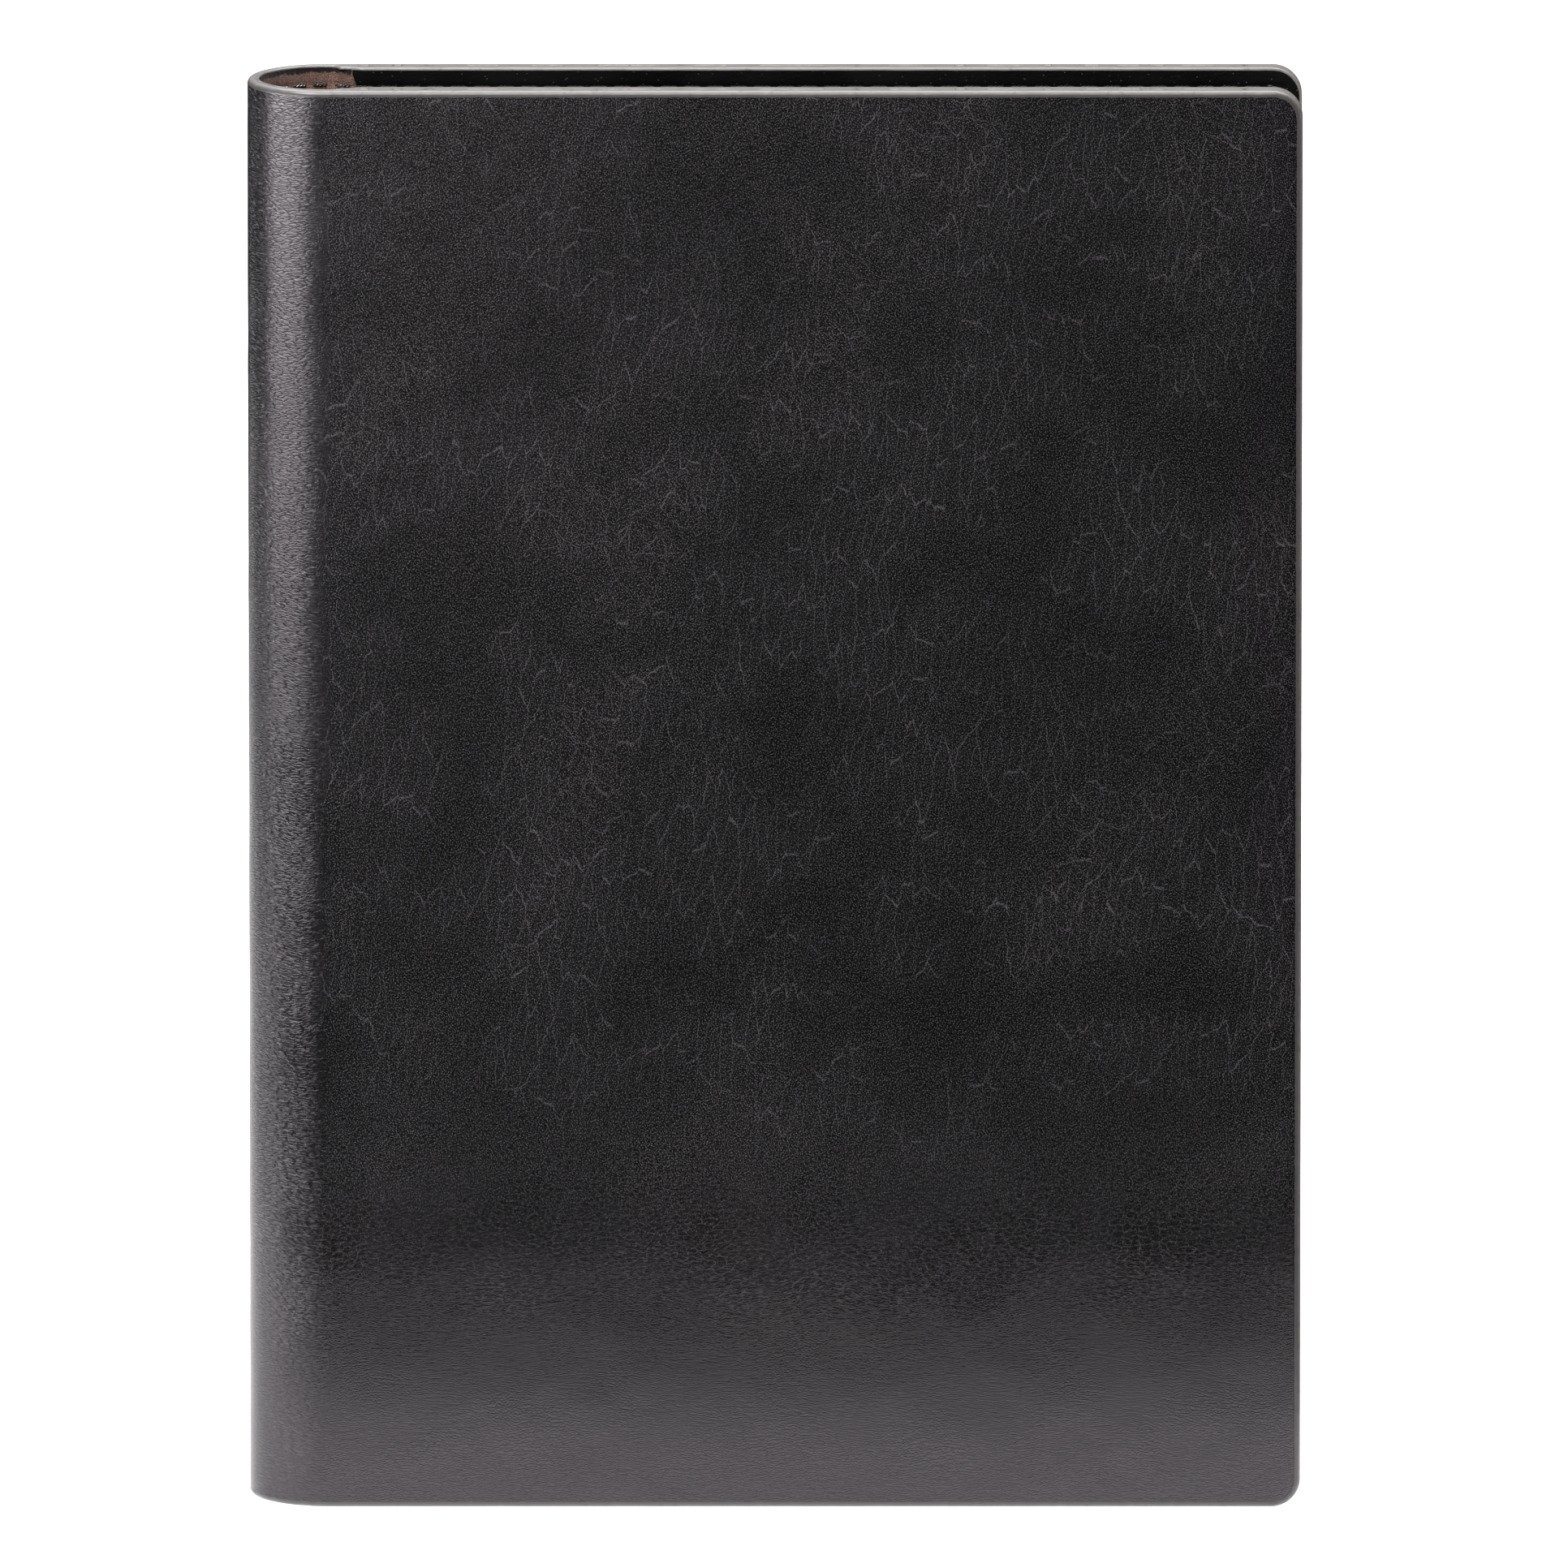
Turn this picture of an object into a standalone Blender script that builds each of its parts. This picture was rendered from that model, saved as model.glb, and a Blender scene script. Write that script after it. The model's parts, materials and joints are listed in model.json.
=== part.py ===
"""A leather cover for an A5 notebook, closed and standing upright on its bottom edges.

The outer leather and the suede lining each run in one piece from the front cover, round the spine loop, to the
back cover. They bend there, so both are cut along the spine into strips that turn on five upright hinge lines.
A board stiffens each cover, and a leather pocket is sewn on three sides inside each to take the notebook's covers.

The spine is at -X, the opening side at +X, the front cover faces -Y, and Z is up. The origin is the centre of
the closed cover's footprint.
"""

import math

import bmesh
import bpy
from mathutils import Vector

# Driving dimensions, in metres.
HEIGHT = 0.224
WIDTH = 0.162
THICKNESS = 0.020
SPINE_DEPTH = 0.0122
CORNER_RADIUS = 0.0045

OUTER_LEATHER = 0.0012
BOARD = 0.0009
LINING = 0.0005
POCKET = 0.0007
GLUE_GAP = 0.0001

POCKET_SETBACK = 0.0156
POCKET_SCOOP = 0.020
POCKET_CORNER = 0.0012
POCKET_SLOT = 0.0008
POCKET_RAMP = (0.0045, 0.0070)

BOARD_SETBACK = 0.0025
LINING_STEP = (0.0010, 0.0022)

SEAM_INSET = 0.0030
THREAD_RADIUS = 0.00025
THREAD_GAP = 0.00006
STRIP_GAP = 0.00022

SPINE_STRIPS = 4
ARC_STEPS = 4
CORNER_STEPS = 6
SCOOP_STEPS = 12

# Places worked out from the driving dimensions.
X_FLAT = -WIDTH / 2 + SPINE_DEPTH
X_FORE = WIDTH / 2
X_POCKET = -WIDTH / 2 + POCKET_SETBACK
HALF = THICKNESS / 2
FRONT, BACK = -1, 1

# How far below the outer face each layer starts, in the order that they are glued.
SPINE_LINING_DEPTH = OUTER_LEATHER + GLUE_GAP
BOARD_DEPTH = OUTER_LEATHER + GLUE_GAP
LINING_DEPTH = BOARD_DEPTH + BOARD + GLUE_GAP
POCKET_DEPTH = LINING_DEPTH + LINING + GLUE_GAP
RAISED_POCKET_DEPTH = LINING_DEPTH + LINING + POCKET_SLOT
THREAD_CLEAR = THREAD_GAP + THREAD_RADIUS


# The section of the cover, seen from above: half an ellipse round the spine, and a straight line on each side.


def arc_station(psi):
    """A point on the outside of the spine loop and its outward normal. psi is -90 degrees at the front cover,
    0 at the spine's outermost line and 90 at the back cover."""
    point = Vector((X_FLAT - SPINE_DEPTH * math.cos(psi), HALF * math.sin(psi), 0))
    normal = Vector((-math.cos(psi) / SPINE_DEPTH, math.sin(psi) / HALF, 0))
    return point, normal.normalized()


def flat_station(side, x):
    """The same for a point on the flat outer face of the front or back cover."""
    return Vector((x, side * HALF, 0)), Vector((0, side, 0))


def hinge_angles():
    """The psi of each hinge line, from front to back. The chords between them turn by equal angles, so the
    chain of strips is straight when every hinge has turned by an equal share of the half turn."""
    turn = math.pi / (SPINE_STRIPS + 1)
    half = [0.0]
    for k in range(SPINE_STRIPS // 2):
        chord = (k + 0.5) * turn
        middle = math.atan(math.tan(chord) * HALF / SPINE_DEPTH)
        half.append(2 * middle - half[-1])
    return [-psi for psi in reversed(half[1:])] + half


def arc_stations(psi_from, psi_to, steps):
    """Stations along the spine loop, with a small gap left at each end that meets a neighbouring piece."""
    gap = math.copysign(STRIP_GAP / HALF, psi_to - psi_from)
    first = psi_from + gap
    last = psi_to - gap if abs(psi_to) < math.pi / 2 else psi_to
    return [arc_station(first + (last - first) * k / steps) for k in range(steps + 1)]


def rim_distance(z):
    """How far a height is from the nearer of the cover's top and bottom edges."""
    return max(0.0, min(z, HEIGHT - z))


def corner_cut(z, radius):
    """How far a rounded corner of this radius sets the side back at this height."""
    above = min(rim_distance(z), radius)
    return radius - math.sqrt(radius**2 - (radius - above) ** 2)


def fore_edge(z):
    """The x of the opening side's edge at this height."""
    return X_FORE - corner_cut(z, CORNER_RADIUS)


def pocket_mouth(z):
    """The x of the pocket's free edge, which is scooped so that a notebook's cover slides in easily."""
    up = 2 * z / HEIGHT - 1
    return X_POCKET + POCKET_SCOOP * (1 - up**2) + corner_cut(z, POCKET_CORNER)


def corner_heights():
    """Row heights that follow the rounded bottom corner, from the bottom edge up."""
    angles = [math.pi / 2 * k / CORNER_STEPS for k in range(CORNER_STEPS + 1)]
    return [CORNER_RADIUS * (1 - math.cos(a)) for a in angles]


def mirrored(heights, between=()):
    """Row heights for the whole cover, from those of its bottom end and any between."""
    return [*heights, *between, *[HEIGHT - z for z in reversed(heights)]]


COVER_ROWS = mirrored(corner_heights())
POCKET_LOW, POCKET_HIGH = POCKET_RAMP[1], HEIGHT - POCKET_RAMP[1]
POCKET_ROWS = mirrored(
    [*corner_heights(), POCKET_RAMP[1]],
    [POCKET_LOW + (POCKET_HIGH - POCKET_LOW) * k / SCOOP_STEPS for k in range(1, SCOOP_STEPS)],
)


# Building.


def material(name, colour, roughness):
    made = bpy.data.materials.new(name)
    made.use_nodes = True
    shader = made.node_tree.nodes["Principled BSDF"]
    shader.inputs["Base Color"].default_value = (*colour, 1)
    shader.inputs["Roughness"].default_value = roughness
    shader.inputs["Metallic"].default_value = 0
    return made


def add_to_scene(obj, look, hinge):
    """Links a finished piece, gives it its material and hangs it on its hinge line, if it has one."""
    obj.data.materials.append(look)
    PARTS.objects.link(obj)
    if hinge is not None:
        obj.parent = hinge
        obj.matrix_parent_inverse = hinge.matrix_world.inverted()
    return obj


def sheet(name, rows, stations_at, depth_at, thickness, look, hinge=None):
    """A sheet of leather or board. A grid is laid on the section at each height in rows, sunk below the outer
    face by depth_at(column, z), and thickened towards the inside of the cover."""
    columns = len(stations_at(0.0))
    bm = bmesh.new()
    bmesh.ops.create_grid(bm, x_segments=columns - 1, y_segments=len(rows) - 1, size=1)
    for vertex in bm.verts:
        column = round((vertex.co.x + 1) / 2 * (columns - 1))
        z = rows[round((vertex.co.y + 1) / 2 * (len(rows) - 1))]
        point, normal = stations_at(z)[column]
        vertex.co = point - normal * depth_at(column, z)
        vertex.co.z = z
    bm.normal_update()
    outward = stations_at(HEIGHT / 2)[0][1]
    if sum((face.normal.dot(outward) * face.calc_area() for face in bm.faces), 0.0) < 0:
        bmesh.ops.reverse_faces(bm, faces=bm.faces)
    mesh = bpy.data.meshes.new(name)
    bm.to_mesh(mesh)
    bm.free()
    obj = add_to_scene(bpy.data.objects.new(name, mesh), look, hinge)
    shell = obj.modifiers.new("Thickness", "SOLIDIFY")
    shell.thickness = thickness
    shell.offset = -1
    shell.use_even_offset = True
    return obj


def cord(name, points, look, hinge=None):
    """A run of sewing thread as a round cord through the points."""
    curve = bpy.data.curves.new(name, "CURVE")
    curve.dimensions = "3D"
    curve.bevel_depth = THREAD_RADIUS
    curve.bevel_resolution = 1
    curve.use_fill_caps = True
    spline = curve.splines.new("POLY")
    spline.points.add(len(points) - 1)
    for target, point in zip(spline.points, points):
        target.co = (*point, 1)
    return add_to_scene(bpy.data.objects.new(name, curve), look, hinge)


def constant(depth):
    return lambda column, z: depth


def cover(side, label, psi_hinge, hinge):
    """One cover with its short curved lip up to the first hinge line: outer leather, board, lining, pocket
    and the seam that holds the pocket to the lining."""
    lip = arc_stations(side * psi_hinge, side * math.pi / 2, ARC_STEPS)

    def outer_stations(z):
        return [*lip, flat_station(side, fore_edge(z))]

    def board_stations(z):
        return [flat_station(side, X_FLAT + BOARD_SETBACK), flat_station(side, fore_edge(z))]

    def lining_stations(z):
        step = [flat_station(side, X_FLAT + x) for x in LINING_STEP]
        return [*lip, *step, flat_station(side, fore_edge(z))]

    def lining_depth(column, z):
        return SPINE_LINING_DEPTH if column <= len(lip) else LINING_DEPTH

    def pocket_stations(z):
        edge = fore_edge(z)
        xs = [pocket_mouth(z), edge - POCKET_RAMP[1], edge - POCKET_RAMP[0], edge]
        return [flat_station(side, x) for x in xs]

    def pocket_depth(column, z):
        raised = column <= 1 and POCKET_LOW - 1e-6 < z < POCKET_HIGH + 1e-6
        return RAISED_POCKET_DEPTH if raised else POCKET_DEPTH

    sheet(f"{label}_outer_leather", COVER_ROWS, outer_stations, constant(0), OUTER_LEATHER, OUTER_BLACK, hinge)
    sheet(f"{label}_board", COVER_ROWS, board_stations, constant(BOARD_DEPTH), BOARD, BOARD_GREY, hinge)
    sheet(f"{label}_lining", COVER_ROWS, lining_stations, lining_depth, LINING, SUEDE_BROWN, hinge)
    sheet(f"{label}_pocket", POCKET_ROWS, pocket_stations, pocket_depth, POCKET, POCKET_BLACK, hinge)
    cord(f"{label}_stitching", seam_path(side, lip), THREAD_BLACK, hinge)


def sunk(station, depth, z):
    point, normal = station
    return (*(point - normal * depth).xy, z)


def seam_path(side, lip):
    """The seam round one cover: along the top, down the opening side and back along the bottom."""
    on_spine = SPINE_LINING_DEPTH + LINING + THREAD_CLEAR
    on_lining = LINING_DEPTH + LINING + THREAD_CLEAR
    on_pocket = POCKET_DEPTH + POCKET + THREAD_CLEAR
    step_from, step_to = LINING_STEP
    pocket_lead = 4 * THREAD_RADIUS
    top = HEIGHT - SEAM_INSET
    path = [sunk(station, on_spine, top) for station in lip]
    for x, depth in (
        (X_FLAT + step_from - 2 * THREAD_RADIUS, on_spine),
        (X_FLAT + step_to - THREAD_RADIUS, on_lining),
        (pocket_mouth(top) - pocket_lead, on_pocket),
    ):
        path.append(sunk(flat_station(side, x), depth, top))
    turn = CORNER_RADIUS - SEAM_INSET
    for k in range(CORNER_STEPS + 1):
        angle = math.pi / 2 * k / CORNER_STEPS
        x = X_FORE - CORNER_RADIUS + turn * math.sin(angle)
        z = HEIGHT - CORNER_RADIUS + turn * math.cos(angle)
        path.append(sunk(flat_station(side, x), on_pocket, z))
    return path + [(x, y, HEIGHT - z) for x, y, z in reversed(path)]


def spine_strip(number, psi_from, psi_to, hinge):
    """One strip of the spine: outer leather, lining, and the lining's seam along its top and bottom."""
    stations = arc_stations(psi_from, psi_to, ARC_STEPS)
    rows = [0.0, HEIGHT]
    name = f"spine_{number}"
    sheet(f"{name}_outer_leather", rows, lambda z: stations, constant(0), OUTER_LEATHER, OUTER_BLACK, hinge)
    sheet(
        f"{name}_lining", rows, lambda z: stations, constant(SPINE_LINING_DEPTH), LINING, SUEDE_BROWN, hinge
    )
    depth = SPINE_LINING_DEPTH + LINING + THREAD_CLEAR
    for end, z in (("top", HEIGHT - SEAM_INSET), ("bottom", SEAM_INSET)):
        path = [sunk(station, depth, z) for station in stations]
        cord(f"{name}_{end}_stitching", path, THREAD_BLACK, hinge)


def hinge_line(name, psi, parent):
    """An empty on a hinge line, hung on the one nearer the back cover."""
    empty = bpy.data.objects.new(name, None)
    point, _ = arc_station(psi)
    PARTS.objects.link(empty)
    empty.location = point
    bpy.context.view_layer.update()
    if parent is not None:
        empty.parent = parent
        empty.matrix_parent_inverse = parent.matrix_world.inverted()
        bpy.context.view_layer.update()
    return empty


for old in list(bpy.data.objects):
    bpy.data.objects.remove(old)

PARTS = bpy.data.collections.new("leather_notebook_cover")
bpy.context.scene.collection.children.link(PARTS)

OUTER_BLACK = material("outer_leather", (0.014, 0.013, 0.014), 0.42)
BOARD_GREY = material("board", (0.22, 0.20, 0.18), 0.9)
SUEDE_BROWN = material("suede_lining", (0.13, 0.065, 0.045), 0.95)
POCKET_BLACK = material("pocket_leather", (0.008, 0.008, 0.009), 0.7)
THREAD_BLACK = material("thread", (0.012, 0.012, 0.012), 0.45)

HINGES = hinge_angles()
cover(BACK, "back", HINGES[-1], None)
line = None
for number in range(1, SPINE_STRIPS + 1):
    line = hinge_line(f"hinge_line_{number}", HINGES[-number], line)
    spine_strip(number, HINGES[-number], HINGES[-number - 1], line)
line = hinge_line(f"hinge_line_{SPINE_STRIPS + 1}", HINGES[0], line)
cover(FRONT, "front", HINGES[-1], line)
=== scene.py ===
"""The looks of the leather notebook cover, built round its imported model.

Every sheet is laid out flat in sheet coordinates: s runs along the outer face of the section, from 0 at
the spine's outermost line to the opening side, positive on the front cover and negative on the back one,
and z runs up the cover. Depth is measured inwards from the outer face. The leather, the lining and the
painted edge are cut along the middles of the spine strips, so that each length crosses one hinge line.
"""

import json
import math

import bpy
import numpy as np
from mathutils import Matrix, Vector, noise

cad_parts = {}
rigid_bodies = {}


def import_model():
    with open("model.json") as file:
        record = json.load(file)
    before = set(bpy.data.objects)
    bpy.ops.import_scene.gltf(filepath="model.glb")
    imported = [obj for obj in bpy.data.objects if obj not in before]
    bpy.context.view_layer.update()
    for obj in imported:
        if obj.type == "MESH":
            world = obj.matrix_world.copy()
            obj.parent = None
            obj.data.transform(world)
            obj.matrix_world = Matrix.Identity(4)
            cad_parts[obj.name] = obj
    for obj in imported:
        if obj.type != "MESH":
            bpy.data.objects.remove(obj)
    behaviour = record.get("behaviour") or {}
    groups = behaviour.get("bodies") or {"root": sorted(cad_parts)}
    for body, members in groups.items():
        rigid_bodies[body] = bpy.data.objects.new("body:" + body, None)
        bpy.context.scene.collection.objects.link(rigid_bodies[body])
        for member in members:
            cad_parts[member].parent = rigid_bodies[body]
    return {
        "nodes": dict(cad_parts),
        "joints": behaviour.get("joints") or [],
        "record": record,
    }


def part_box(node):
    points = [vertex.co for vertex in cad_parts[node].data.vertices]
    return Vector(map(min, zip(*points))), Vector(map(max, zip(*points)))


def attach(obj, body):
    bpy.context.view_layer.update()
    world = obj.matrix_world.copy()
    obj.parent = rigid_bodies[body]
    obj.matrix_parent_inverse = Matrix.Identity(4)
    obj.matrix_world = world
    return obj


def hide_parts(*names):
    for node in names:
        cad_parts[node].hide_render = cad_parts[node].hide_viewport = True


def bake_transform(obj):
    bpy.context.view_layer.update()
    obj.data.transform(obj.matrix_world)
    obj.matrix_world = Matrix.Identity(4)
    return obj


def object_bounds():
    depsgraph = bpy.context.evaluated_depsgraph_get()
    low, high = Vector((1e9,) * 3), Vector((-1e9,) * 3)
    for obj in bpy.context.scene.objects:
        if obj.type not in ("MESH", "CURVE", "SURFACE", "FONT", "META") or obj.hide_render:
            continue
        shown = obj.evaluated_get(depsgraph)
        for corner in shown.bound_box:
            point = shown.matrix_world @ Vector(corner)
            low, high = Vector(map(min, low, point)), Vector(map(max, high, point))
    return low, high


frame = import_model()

CAD_LOW, CAD_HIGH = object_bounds()
MM = 0.001

# The frame's own places: the outer box, the spine's ellipse, and how deep each layer's face lies.
HEIGHT = CAD_HIGH.z
X_FORE = CAD_HIGH.x
HALF = CAD_HIGH.y
JOINTS = frame["joints"]
BODIES = [JOINTS[0]["parent"], *[joint["child"] for joint in JOINTS]]
HINGE_PSI = [math.asin(joint["pos_m"][1] / HALF) for joint in JOINTS]
SPINE_DEPTH = (JOINTS[0]["pos_m"][0] - CAD_LOW.x) / (1 - math.cos(HINGE_PSI[0]))
X_FLAT = CAD_LOW.x + SPINE_DEPTH

LINING = 0.5 * MM
POCKET = 0.7 * MM
BOARD_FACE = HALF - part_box("back_board")[1].y
SPINE_FACE = BOARD_FACE + LINING
LINING_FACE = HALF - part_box("back_lining")[0].y
POCKET_RIM_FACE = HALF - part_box("back_pocket")[1].y + POCKET
POCKET_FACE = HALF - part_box("back_pocket")[0].y
X_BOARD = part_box("back_board")[0].x

# The outline, the sheets inside the painted edge, and the seam with the furrow that its stitches pull.
CORNER_RADIUS = 4.5 * MM
SHEET_INSET = 0.35 * MM
SEAM_INSET = 3.0 * MM
SEAM_LINES = (SEAM_INSET, HEIGHT - SEAM_INSET)
FURROW_DEPTH = 0.13 * MM
FURROW_WIDTH = 0.45 * MM

# The pockets: where the free edge starts, how deep its scoop is, its corners, where the pocket lifts off the
# lining, and how its leather is pared thinner towards the free edge.
X_POCKET = CAD_LOW.x + 15.6 * MM
POCKET_SCOOP = 20 * MM
POCKET_CORNER = 1.2 * MM
POCKET_RAMP = (4.5 * MM, 7.0 * MM)
PARED_WIDTH = 1.8 * MM
PARED_SHARE = 0.45

# The painted edge: how thick the paint is over the leather's face, how far it reaches onto that face, how
# deep its outer rounding goes, and the groove between the leather and the lining.
LIP = 0.02 * MM
PAINT_REACH = 0.90 * MM
PAINT_ROUND = 0.85 * MM
GROOVE = 0.10 * MM

# The thread: a ply's radius, the stitches' spacing and half length, how deep their ends go into the holes,
# how far the plies turn from a stitch's middle to its end, and how far the thread lies off the face.
PLY = 0.125 * MM
STITCH_PITCH = 3.6 * MM
STITCH_HALF = 1.42 * MM
STITCH_DIP = 0.50 * MM
STITCH_TWIST = 2.1 * math.pi
STITCH_LIFT = 0.06 * MM

# Distances between the mesh's points: the smallest one, round the spine, and on the flat of each sheet.
SMALLEST_STEP = 0.02 * MM
ARC_STEP = 0.35 * MM
LEATHER_STEP = 1.25 * MM
LINING_STEP = 1.6 * MM
POCKET_STEP = 1.7 * MM


# The section.

ARC_PSI = np.linspace(0, math.pi / 2, 400)
ARC_SPEED = np.hypot(SPINE_DEPTH * np.sin(ARC_PSI), HALF * np.cos(ARC_PSI))
ARC_S = np.concatenate([[0], np.cumsum((ARC_SPEED[1:] + ARC_SPEED[:-1]) / 2 * np.diff(ARC_PSI))])
S_FLAT = float(ARC_S[-1])
S_FORE = S_FLAT + X_FORE - X_FLAT


def s_of_psi(psi):
    """Where on the sheet an angle of the spine's ellipse lies. psi is positive towards the back cover."""
    return -math.copysign(float(np.interp(abs(psi), ARC_PSI, ARC_S)), psi)


def s_of_x(x):
    """The distance from the spine's outermost line of a place x on a flat cover."""
    return S_FLAT + x - X_FLAT


def place(s, z, depth):
    """The point in space of a place on the sheet, this deep under the outer face."""
    facing = -1 if s > 0 else 1
    if abs(s) >= S_FLAT:
        return (X_FLAT + abs(s) - S_FLAT, facing * (HALF - depth), z)
    psi = float(np.interp(abs(s), ARC_S, ARC_PSI))
    nx, ny = -math.cos(psi) / SPINE_DEPTH, math.sin(psi) / HALF
    size = math.hypot(nx, ny)
    x = X_FLAT - SPINE_DEPTH * math.cos(psi) - depth * nx / size
    return (x, facing * (HALF * math.sin(psi) - depth * ny / size), z)


def smooth(value, start, end):
    """0 before start, 1 after end, and an even S between."""
    t = min(1.0, max(0.0, (value - start) / (end - start)))
    return t * t * (3 - 2 * t)


def ruffle(s, z, wavelength, seed=0.0):
    """Even noise over the sheet, between about -0.7 and 0.7."""
    return noise.noise(Vector((s / wavelength, z / wavelength, seed)))


def rim_distance(z):
    """How far a height is from the nearer of the top and bottom edges."""
    return min(z, HEIGHT - z)


def edge_distance(s, z):
    """How far in from the cover's outline a place on the sheet is."""
    side, rim = S_FORE - abs(s), rim_distance(z)
    if max(side, rim) < CORNER_RADIUS:
        return CORNER_RADIUS - math.hypot(CORNER_RADIUS - side, CORNER_RADIUS - rim)
    return min(side, rim)


def corner_cut(above, radius):
    """How far a rounded corner sets the side back at this distance above the corner's own end."""
    above = min(max(above, 0.0), radius)
    return radius - math.sqrt(radius**2 - (radius - above) ** 2)


def fore_s(z, inset):
    """The sheet's edge at the opening side, at this height, for a sheet this much smaller all round."""
    return S_FORE - inset - corner_cut(rim_distance(z) - inset, CORNER_RADIUS - inset)


def lining_depth(s):
    """How deep the lining's inner face lies. It steps over the board's edge beside the spine."""
    over_board = smooth(abs(s), s_of_x(X_BOARD) - 1.5 * MM, s_of_x(X_BOARD) - 0.3 * MM)
    return SPINE_FACE + (LINING_FACE - SPINE_FACE) * over_board


def face_depth(s):
    """How deep the inner face of the glued layers lies, along the top and bottom edges."""
    over_pocket = smooth(abs(s), s_of_x(X_POCKET) - 0.4 * MM, s_of_x(X_POCKET) + 2.2 * MM)
    return lining_depth(s) + (POCKET_RIM_FACE - LINING_FACE) * over_pocket


# The bends. Each one is a length of the sheet that crosses one hinge line.


def cut_lines():
    """The s of the cuts: the back cover's edge, the middle of each spine strip, the front cover's edge."""
    middles = [s_of_psi((a + b) / 2) for a, b in zip(HINGE_PSI, HINGE_PSI[1:])]
    return [-S_FORE, *middles, S_FORE]


CUTS = cut_lines()
BENDS = range(len(JOINTS))


def bend(piece):
    """Bakes the piece's placement into its mesh. Nothing here bends it over a hinge line."""
    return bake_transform(piece)


def add_piece(name, vertices, faces, slots, materials, coordinates):
    """An object with smooth faces, its materials, and where each point lies on the sheet, in millimetres."""
    mesh = bpy.data.meshes.new(name)
    mesh.from_pydata(vertices, [], faces)
    for look in materials:
        mesh.materials.append(look)
    mesh.polygons.foreach_set("material_index", slots)
    sheet = mesh.attributes.new("sheet", "FLOAT_VECTOR", "POINT")
    sheet.data.foreach_set("vector", (np.array(coordinates, np.float32) / MM).ravel())
    mesh.validate()
    mesh.shade_smooth()
    mesh.set_sharp_from_angle(angle=math.radians(50))
    piece = bpy.data.objects.new(name, mesh)
    bpy.context.scene.collection.objects.link(piece)
    return piece


def volume(vertices, faces):
    """The signed volume of a closed mesh of four-sided faces."""
    points = np.array(vertices)[np.array(faces)]
    total = 0.0
    for k in (1, 2):
        total += (points[:, 0] * np.cross(points[:, k], points[:, k + 1])).sum()
    return total / 6


def closed_sheet(name, grid, depths, materials, raw_columns=0):
    """A closed sheet. grid holds rows of places (s, z), depths(s, z) gives the depths of the outer and the
    inner face, and the materials are those of the outer face, the inner face and the edges. The inner
    face's first raw_columns columns look like the edges."""
    rows, columns = len(grid), len(grid[0])
    flat = [station for row in grid for station in row]
    pairs = [depths(s, z) for s, z in flat]
    vertices = [place(s, z, pair[0]) for (s, z), pair in zip(flat, pairs)]
    vertices += [place(s, z, pair[1]) for (s, z), pair in zip(flat, pairs)]
    coordinates = [(s, z, pair[face]) for face in (0, 1) for (s, z), pair in zip(flat, pairs)]
    count = rows * columns
    index = np.arange(count).reshape(rows, columns)
    corners = [index[:-1, :-1], index[:-1, 1:], index[1:, 1:], index[1:, :-1]]
    outer = np.stack(corners, -1).reshape(-1, 4)
    inner = outer[:, ::-1] + count
    loop = np.concatenate([index[0, :], index[1:, -1], index[-1, -2::-1], index[-2:0:-1, 0]])
    after = np.roll(loop, -1)
    walls = np.stack([after, loop, loop + count, after + count], -1)
    faces = np.concatenate([outer, inner, walls])
    slots = np.repeat([0, 1, 2], [len(outer), len(inner), len(walls)])
    inner_slots = slots[len(outer) : len(outer) + len(inner)].reshape(rows - 1, columns - 1)
    inner_slots[:, :raw_columns] = 2
    if volume(vertices, faces) < 0:
        faces = faces[:, ::-1]
    return add_piece(name, vertices, faces.tolist(), slots, materials, coordinates)


def spaced(start, end, step):
    """Even values from start to end, no further apart than step."""
    return np.linspace(start, end, max(2, math.ceil(abs(end - start) / step) + 1)).tolist()


def with_seam(values, lines, reach=1.2 * MM, step=0.3 * MM):
    """Values with closer ones round each seam line, so that the sheet can dip under the stitches."""
    kept = [v for v in values if min(abs(v - line) for line in lines) > reach]
    close = [line + offset for line in lines for offset in np.arange(-reach, reach + step / 2, step)]
    return sorted(kept + close)


def cover_rows(inset, step):
    """Row heights for a sheet this much smaller than the cover, following its rounded corners."""
    radius = CORNER_RADIUS - inset
    bottom = [inset + radius * (1 - math.cos(math.radians(a))) for a in range(0, 91, 9)]
    top = [HEIGHT - z for z in reversed(bottom)]
    return bottom + spaced(bottom[-1], top[0], step)[1:-1] + top


def bend_grid(number, rows, inset, step):
    """Places on one length of a full sheet. The step beside a cut is very short, so that the face there has
    the same slope as its neighbour's."""
    low, high = CUTS[number], CUTS[number + 1]
    across = spaced(0, 1, step / (S_FORE - S_FLAT))
    grid = []
    for z in rows:
        if number == BENDS[0]:
            stations = [-fore_s(z, inset) * (1 - u) - S_FLAT * u for u in across]
            stations += spaced(-S_FLAT, high - SMALLEST_STEP, ARC_STEP)[1:] + [high]
        elif number == BENDS[-1]:
            stations = [low] + spaced(low + SMALLEST_STEP, S_FLAT, ARC_STEP)[:-1]
            stations += [fore_s(z, inset) * u + S_FLAT * (1 - u) for u in across]
        else:
            stations = [low, *spaced(low + SMALLEST_STEP, high - SMALLEST_STEP, ARC_STEP), high]
        grid.append([(s, z) for s in stations])
    return grid


# Materials.


def node(tree, kind, inputs=None, out=0, **settings):
    """Adds a node, with a value or another node's output on each input, and returns one of its outputs."""
    made = tree.nodes.new(kind)
    for key, value in settings.items():
        setattr(made, key, value)
    for key, value in (inputs or {}).items():
        if isinstance(value, bpy.types.NodeSocket):
            tree.links.new(value, made.inputs[key])
        else:
            made.inputs[key].default_value = value
    return made.outputs[out]


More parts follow.
